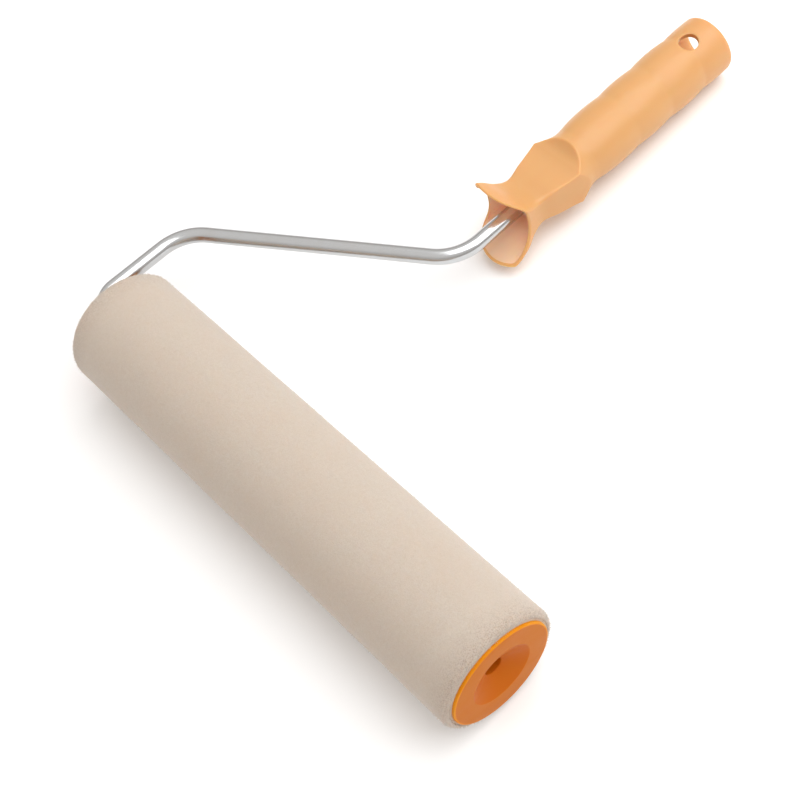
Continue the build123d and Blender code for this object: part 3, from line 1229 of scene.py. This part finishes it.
@dataclass
class Sleeve:
    """Plush cover on its woven backing. Millimetres, x along the sleeve."""

    half_length: float
    pile_r: float
    backing_r: float
    core_r: float
    root_step: float = 0.25
    foot_lift: float = 0.02
    foot_inset: float = 0.05
    cut_edge: float = 0.3
    inner_rows: int = 9
    core_slack: float = 0.01
    cloth_roll: float = 0.3
    cloth_columns: int = 192
    columns: int = 244
    step: float = 0.69
    nap: float = 0.35
    end_round: float = 3.2
    tuft: float = 0.05
    tuft_size: float = 1.5
    sway: float = 0.10
    sway_size: float = 22.0
    sway_seed: Triple = (7.0, 3.0, 5.0)
    surface_fibres: int = 9000
    edge_fibres: int = 5000
    fibre_width: float = 0.07
    fibre_length: tuple[float, float] = (0.7, 1.3)
    fibre_lean: float = 0.45
    fibre_root: float = 0.3
    seed: int = 11

    @property
    def skin_r(self) -> float:
        """Radius of the pile's skin, under its loose fibre ends."""
        return self.pile_r - self.nap

    @property
    def straight(self) -> float:
        """x where the pile starts to round over towards its end."""
        return self.half_length - self.end_round

    @property
    def rise(self) -> float:
        """Height of the rounded end above its foot on the backing."""
        return min(self.end_round, self.skin_r - self.backing_r - self.root_step)

    def profile(self) -> tuple[np.ndarray, np.ndarray]:
        """Outer line of the pile from one end's backing to the other's.

        Returns:
            (x, radius) points, and how much each may be roughened.
        """
        half = [(self.half_length - self.cut_edge, self.backing_r + self.foot_lift),
                (self.half_length - self.foot_inset, self.backing_r + self.root_step)]
        half += [(self.straight + self.end_round * math.cos(a),
                  self.skin_r - self.rise + self.rise * math.sin(a))
                 for a in np.linspace(0.0, QUARTER_TURN, 12)]
        run = np.linspace(self.straight, -self.straight, round(2 * self.straight / self.step))[1:-1]
        far_half = [(-x, radius) for x, radius in reversed(half)]
        points = np.array([*half, *[(x, self.skin_r) for x in run], *far_half])
        rough = np.clip(points[:, 1] - self.backing_r, 0.0, 1.0)
        return points, rough

    def roughen(self, point: Vector, normal: Vector, amount: float) -> Vector:
        """Move a point of the pile by its tufts and its slow unevenness.

        Args:
            point: a point of the smooth skin.
            normal: the skin's direction there.
            amount: how much of the relief it gets, from 0 to 1.

        Returns:
            The moved point.
        """
        tuft = noise.fractal(point / self.tuft_size, 1.0, 2.0, 2)
        slow = noise.noise(point / self.sway_size + Vector(self.sway_seed))
        return point + normal * (amount * (self.tuft * tuft + self.sway * slow))

    def pile(self) -> bpy.types.Object:
        """Plush skin with tufts as real relief.

        Returns:
            The pile.
        """
        points, rough = self.profile()
        count = len(points)
        way = np.gradient(points, axis=0)
        way /= np.linalg.norm(way, axis=1)[:, None]
        cut = self.half_length - self.cut_edge
        inner = np.array([(x, self.backing_r) for x in np.linspace(-cut, cut, self.inner_rows)])
        angle = np.linspace(0.0, FULL_TURN, self.columns, endpoint=False)
        rings = np.empty((count + len(inner), self.columns, 3))
        for i, (x, radius) in enumerate([*points, *inner]):
            for j, a in enumerate(angle):
                spoke = Vector((0.0, math.cos(a), math.sin(a)))
                point = spoke * radius + Vector((x, 0.0, 0.0))
                if i < count and rough[i] > 0:
                    normal = spoke * -way[i][0] + Vector((way[i][1], 0.0, 0.0))
                    point = self.roughen(point, normal, rough[i])
                rings[i, j] = point
        return grid_mesh("plush_pile", rings * MM, loop=True)

    def fuzz(self) -> bpy.types.Object:
        """Loose fibre ends that stand out of the pile, thicker round the two ends.

        Returns:
            The fibres, each a thin closed spike.
        """
        rng = np.random.default_rng(self.seed)
        total = self.surface_fibres + self.edge_fibres
        x = rng.uniform(-self.straight, self.straight, total)
        slope = np.zeros(total)
        side = np.where(rng.random(self.edge_fibres) < 0.5, -1.0, 1.0)
        slope[self.surface_fibres:] = side * rng.uniform(0.0, QUARTER_TURN, self.edge_fibres)
        at_end = np.abs(slope) > 0
        x = np.where(at_end, np.sign(slope) * self.straight + self.end_round * np.sin(slope), x)
        radius = np.where(at_end, self.skin_r - self.rise + self.rise * np.cos(slope), self.skin_r)
        angle = rng.uniform(0.0, FULL_TURN, total)
        spoke = np.stack([np.zeros(total), np.cos(angle), np.sin(angle)], axis=1)
        around = np.stack([np.zeros(total), -np.sin(angle), np.cos(angle)], axis=1)
        ahead = np.array([1.0, 0.0, 0.0])
        out = spoke * np.cos(slope)[:, None] + ahead * np.sin(slope)[:, None]
        root = spoke * (radius - self.fibre_root)[:, None] + ahead * x[:, None]
        lean = rng.normal(0.0, self.fibre_lean, (total, 2))
        way = out + around * lean[:, :1] + np.cross(out, around) * lean[:, 1:]
        way /= np.linalg.norm(way, axis=1)[:, None]
        tip = root + way * rng.uniform(*self.fibre_length, total)[:, None]
        across = np.cross(way, around)
        across /= np.linalg.norm(across, axis=1)[:, None]
        third = np.cross(way, across)
        verts = np.empty((total, 4, 3))
        for k, a in enumerate((0.0, FULL_TURN / 3, FULL_TURN * 2 / 3)):
            verts[:, k] = root + self.fibre_width * (math.cos(a) * across + math.sin(a) * third)
        verts[:, 3] = tip
        faces = []
        for i in range(total):
            b = 4 * i
            faces += [(b, b + 1, b + 3), (b + 1, b + 2, b + 3), (b + 2, b, b + 3), (b + 2, b + 1, b)]
        mesh = bpy.data.meshes.new("pile_fuzz")
        mesh.from_pydata((verts.reshape(-1, 3) * MM).tolist(), [], faces)
        return finish_mesh("pile_fuzz", mesh)

    def backing(self) -> bpy.types.Object:
        """Woven cloth tube under the pile, with its cut edges slightly rolled.

        Returns:
            The backing.
        """
        half, inner = self.half_length, self.core_r + self.core_slack
        corners = [Corner(half, inner), Corner(half, self.backing_r, self.cloth_roll),
                   Corner(-half, self.backing_r, self.cloth_roll), Corner(-half, inner)]
        return lathe("cloth_backing", rounded(corners), self.cloth_columns)


@dataclass
class EndCap:
    """Dished end cap with a skirt, a ribbed hub and a bore. Millimetres, face towards +X."""

    face_x: float
    flange_r: float
    hub_length: float
    bores: tuple[tuple[float, float], ...]
    flange: float = 1.8
    edge_round: float = 0.7
    dish_r: float = 14.3
    dish_depth: float = 4.7
    dish_floor_r: float = 4.1
    wall: float = 1.6
    skirt_r: tuple[float, float] = (20.2, 22.0)
    skirt_length: float = 12.0
    hub_r: float = 8.0
    rib_count: int = 6
    rib_width: float = 1.4
    rib_length: float = 7.0
    rib_bite: float = 0.3
    rib_sunk: tuple[float, float] = (0.2, 0.4)
    segments: int = 192

    def dish_back(self, radius: float) -> float:
        """x of the dish's back at a radius."""
        slope = self.dish_depth / (self.dish_r - self.dish_floor_r)
        return self.face_x - slope * (self.dish_r - radius) - self.wall

    def profile(self) -> np.ndarray:
        """Closed half-section of the cap.

        Returns:
            (x, radius) points.
        """
        back = self.face_x - self.flange
        dish = self.face_x - self.dish_depth
        skirt_x = back - self.skirt_length
        hub_end = dish - self.hub_length
        corners = [
            Corner(self.face_x, self.dish_r, 0.7), Corner(self.face_x, self.flange_r, self.edge_round),
            Corner(back, self.flange_r, 0.25), Corner(back, self.skirt_r[1], 0.15),
            Corner(skirt_x, self.skirt_r[1], 0.35), Corner(skirt_x, self.skirt_r[0], 0.35),
            Corner(back, self.skirt_r[0], 0.4), Corner(back, self.dish_r - 1.0, 0.6),
            Corner(self.dish_back(self.hub_r), self.hub_r, 0.5), Corner(hub_end, self.hub_r, 0.4),
            Corner(hub_end, self.bores[0][1], 0.2)]
        for (_, radius), (depth, deeper) in zip(self.bores[:-1], self.bores[1:]):
            corners += [Corner(dish - depth, radius, 0.1), Corner(dish - depth, deeper, 0.15)]
        corners.append(Corner(dish, self.bores[-1][1], 0.45))
        if self.bores[-1][1] < self.dish_floor_r - 0.1:
            corners.append(Corner(dish, self.dish_floor_r, 0.1))
        return rounded(corners)

    def rib(self, turn: float) -> bpy.types.Object:
        """One rib between hub and skirt, tapered.

        Args:
            turn: its angle round the axis.

        Returns:
            The rib.
        """
        inner, outer = self.hub_r - self.rib_bite, self.skirt_r[0] + self.rib_bite
        back = self.face_x - self.flange + self.rib_sunk[0]
        outline = [(back, outer), (back, self.dish_r - 1.0),
                   (self.dish_back(inner) + self.rib_sunk[1], inner),
                   (back - self.rib_length, inner), (back - self.rib_length, outer)]
        mesh = bpy.data.meshes.new("rib")
        half = 0.5 * self.rib_width
        verts = [(x, s * half, r) for s in (-1, 1) for x, r in outline]
        n = len(outline)
        faces = [tuple(range(n)), tuple(range(2 * n - 1, n - 1, -1))]
        faces += [(k, k + n, (k + 1) % n + n, (k + 1) % n) for k in range(n)]
        mesh.from_pydata([Vector(v) * MM for v in verts], [], faces)
        mesh.transform(Matrix.Rotation(turn, 4, "X"))
        return finish_mesh("rib", mesh)

    def build(self, name: str, mirrored: bool) -> bpy.types.Object:
        """Turn the cap, add its ribs and face it outwards.

        Args:
            name: the piece's name.
            mirrored: True for the cap whose face looks towards -X.

        Returns:
            The cap.
        """
        cap = lathe(name, self.profile(), self.segments)
        ribs = [self.rib(FULL_TURN * k / self.rib_count) for k in range(self.rib_count)]
        join(cap, ribs)
        if mirrored:
            cap.data.transform(Matrix.Rotation(math.pi, 4, "Z"))
        return cap


# ---- studio


@dataclass
class Studio:
    """Camera, pale floor and soft light. Metres."""

    camera_place: Triple = (0.3181, -0.1020, 0.5210)
    camera_back: Triple = (0.4992, -0.2510, 0.8294)
    camera_up: Triple = (-0.5550, 0.6424, 0.5284)
    lens: float = 68.3
    film_width: float = 36.0
    nearest: float = 0.01
    floor_size: float = 6.0
    floor_gap: float = 0.0005
    floor_colour: Triple = (0.96, 0.96, 0.965)
    floor_cloud: float = 1.02
    sky: Triple = (1.0, 0.972, 0.94)
    horizon: Triple = (0.50, 0.46, 0.43)
    sky_from: float = 0.05
    sky_to: float = 0.75
    sky_strength: float = 0.92
    lamp_place: Triple = (0.30, 0.50, 1.05)
    lamp_target: Triple = (0.0, 0.08, 0.0)
    lamp_size: float = 1.3
    lamp_watts: float = 12.5
    lamp_tint: Triple = (0.965, 0.985, 1.0)

    def camera(self) -> None:
        """Place the camera and make it the scene's own."""
        back = Vector(self.camera_back).normalized()
        right = Vector(self.camera_up).cross(back).normalized()
        up = back.cross(right)
        data = bpy.data.cameras.new("camera")
        data.lens = self.lens
        data.sensor_width = self.film_width
        data.clip_start = self.nearest
        obj = bpy.data.objects.new("camera", data)
        turn = Matrix((right, up, back)).transposed().to_4x4()
        obj.matrix_world = Matrix.Translation(self.camera_place) @ turn
        bpy.context.scene.collection.objects.link(obj)
        bpy.context.scene.camera = obj

    def floor(self, sleeve_r: float, handle_end: tuple[float, float]) -> None:
        """Lay the floor under the sleeve and the handle's end.

        Args:
            sleeve_r: radius of the sleeve, in metres.
            handle_end: y of the handle's end and how far below the axis it reaches.
        """
        y, drop = handle_end
        slope = math.asin((sleeve_r - drop) / y)
        half = 0.5 * self.floor_size
        mesh = bpy.data.meshes.new("floor")
        mesh.from_pydata([(-half, -half, 0), (half, -half, 0), (half, half, 0), (-half, half, 0)], [],
                         [(0, 1, 2, 3)])
        floor = bpy.data.objects.new("floor", mesh)
        floor.matrix_world = (Matrix.Translation((0.0, 0.0, -sleeve_r - self.floor_gap))
                              @ Matrix.Rotation(slope, 4, "X"))
        bpy.context.scene.collection.objects.link(floor)
        g = NodeGraph("floor_paper")
        cloud = g.noise(g.coordinates(), 6.0, 2.0)
        lighter = tuple(min(1.0, c * self.floor_cloud) for c in self.floor_colour)
        g.set(Base_Color=g.mix(cloud, self.floor_colour, lighter), Roughness=0.9, Specular_IOR_Level=0.1)
        mesh.materials.append(g.material)

    def sky_dome(self) -> None:
        """White overhead that greys towards the horizon."""
        world = bpy.data.worlds.new("studio")
        world.use_nodes = True
        bpy.context.scene.world = world
        tree = world.node_tree
        tree.nodes.clear()
        output, light, place, split, ramp = (tree.nodes.new("ShaderNode" + kind) for kind in (
            "OutputWorld", "Background", "TexCoord", "SeparateXYZ", "ValToRGB"))
        stops = ((self.sky_from, self.horizon), (self.sky_to, self.sky))
        for element, (height, colour) in zip(ramp.color_ramp.elements, stops):
            element.position = height
            element.color = rgba(colour)
        light.inputs["Strength"].default_value = self.sky_strength
        tree.links.new(place.outputs["Generated"], split.inputs["Vector"])
        tree.links.new(split.outputs["Z"], ramp.inputs["Fac"])
        tree.links.new(ramp.outputs["Color"], light.inputs["Color"])
        tree.links.new(light.outputs["Background"], output.inputs["Surface"])

    def lamp(self) -> None:
        """Hang the one square soft box."""
        data = bpy.data.lights.new("key_box", "AREA")
        data.size = self.lamp_size
        data.energy = self.lamp_watts
        data.color = self.lamp_tint
        obj = bpy.data.objects.new("key_box", data)
        obj.location = self.lamp_place
        way = Vector(self.lamp_target) - Vector(self.lamp_place)
        obj.rotation_euler = way.to_track_quat("-Z", "Y").to_euler()
        bpy.context.scene.collection.objects.link(obj)

    def build(self, sleeve_r: float, handle_end: tuple[float, float]) -> None:
        """Set the whole studio up.

        Args:
            sleeve_r: radius of the sleeve, in metres.
            handle_end: y of the handle's end and how far below the axis it reaches.
        """
        self.camera()
        self.floor(sleeve_r, handle_end)
        self.sky_dome()
        self.lamp()
        bpy.context.scene.view_settings.view_transform = "Standard"


# ---- this roller's finishes and hubs


APRICOT = MouldedPlastic("apricot_polypropylene", (0.635, 0.338, 0.130), (0.61, 0.315, 0.113), 0.37,
                         see_in=0.5)
# Paler, pinker copies of the apricot: painted light inside the guard and in the socket.
GUARD_INSIDE_PAINTED_LIGHT = MouldedPlastic("apricot_inner_painted_light", (0.72, 0.50, 0.37), (0.66, 0.44, 0.32), 0.60,
                              see_in=0.8, specular=0.3)
SOCKET_WALL_PAINTED_LIGHT = MouldedPlastic("apricot_socket_painted_light", (0.80, 0.50, 0.24), (0.76, 0.46, 0.21), 0.55,
                             see_in=0.8, specular=0.3)
ORANGE = CapPlastic("orange_polypropylene", (0.52, 0.148, 0.006), (0.50, 0.128, 0.003), 0.40,
                    see_in=0.25, specular=0.08)
CORE_PLASTIC = MouldedPlastic("core_tube_plastic", (0.62, 0.60, 0.56), (0.50, 0.48, 0.44), 0.5)
NYLON = MouldedPlastic("natural_nylon", (0.80, 0.77, 0.70), (0.70, 0.66, 0.58), 0.42, see_in=0.15)
ROD_STEEL = DrawnSteel("drawn_rod_steel", (0.585, 0.600, 0.615), 0.18)
COLLAR_STEEL = DrawnSteel("pressed_collar_steel", (0.60, 0.59, 0.58), 0.34, Place.OBJECT)
CLOTH = WovenBacking("woven_backing_cloth", (0.62, 0.50, 0.38))

# Each cap's hub: its length, and where each bore starts in it with that bore's radius.
OPEN_HUB = (21.3, ((0.0, 5.6), (3.0, 4.1)))
ROD_HUB = (14.0, ((0.0, 3.75),))


# ---- main


def box_mm(node: str) -> tuple[Vector, Vector]:
    """Lowest and highest corners of a CAD node, in millimetres."""
    low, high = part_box(node)
    return Vector(low) / MM, Vector(high) / MM


def build_sleeve() -> None:
    """Build the pile, its loose fibre ends and the backing that carries them."""
    pile_high = box_mm("pile_cover")[1]
    sleeve = Sleeve(half_length=pile_high.x, pile_r=pile_high.z, backing_r=box_mm("fabric_backing")[1].z,
                    core_r=box_mm("core_tube")[1].z)
    reach = pile_high.x * MM
    # Each plush finish's second colour is painted shade for the hollows between tufts.
    plush = PilePlush("plush_pile_fibre", (0.545, 0.478, 0.412), (0.48, 0.395, 0.32), reach)
    fuzz = PilePlush("plush_fuzz_fibre", (0.56, 0.495, 0.43), (0.50, 0.415, 0.345), reach,
                     bump_strength=0.2)
    dress(sleeve.pile(), plush.material(), Body.ROLLER, Slot.PILE, "pile_cover")
    dress(sleeve.fuzz(), fuzz.material(), Body.ROLLER, Slot.PILE)
    dress(sleeve.backing(), CLOTH.material(), Body.ROLLER, Slot.BACKING, "fabric_backing")


def build_caps() -> None:
    """Build the two end caps, back to back."""
    high = box_mm("outboard_cap")[1]
    for name, mirrored, (length, bores), node in (("open_end_cap", False, OPEN_HUB, "outboard_cap"),
                                                  ("rod_end_cap", True, ROD_HUB, "inboard_cap")):
        cap = EndCap(face_x=high.x, flange_r=high.z, hub_length=length, bores=bores)
        dress(cap.build(name, mirrored), ORANGE.material(), Body.ROLLER, Slot.CAP, node)


def dress_cad_nodes() -> None:
    """Finish the CAD nodes that keep their own shape."""
    repaint("core_tube", CORE_PLASTIC.material())
    for node in ("thrust_washer", "snap_bush", "bush_retainer"):
        repaint(node, NYLON.material())
    repaint("stop_collar", COLLAR_STEEL.material())


def main() -> None:
    """Build every piece in order, then the studio."""
    logging.basicConfig(level=logging.INFO, format="%(name)s: %(message)s")
    grip_low, grip_high = box_mm("handle_grip")
    rod_low, rod_high = box_mm("frame_rod")
    rod_r = rod_high.z
    handle_x = 0.5 * (grip_low.x + grip_high.x)

    handle = Handle(axis_x=handle_x, end_y=grip_high.y, rod_radius=rod_r)
    skins = [finish.material() for finish in (APRICOT, GUARD_INSIDE_PAINTED_LIGHT, SOCKET_WALL_PAINTED_LIGHT)]
    dress(handle.build(*skins), skins[0], Body.FRAME, Slot.GRIP, "handle_grip")

    rod = Rod(tip_x=rod_high.x, elbow_x=rod_low.x + rod_r, radius=rod_r, handle_x=handle_x)
    dress(rod.build(), ROD_STEEL.material(), Body.FRAME, Slot.ROD, "frame_rod")

    build_sleeve()
    build_caps()
    dress_cad_nodes()
    Studio().build(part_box("pile_cover")[1][2], (handle.end_y * MM, handle.grip_end_r * MM))


if __name__ == "__main__":
    main()
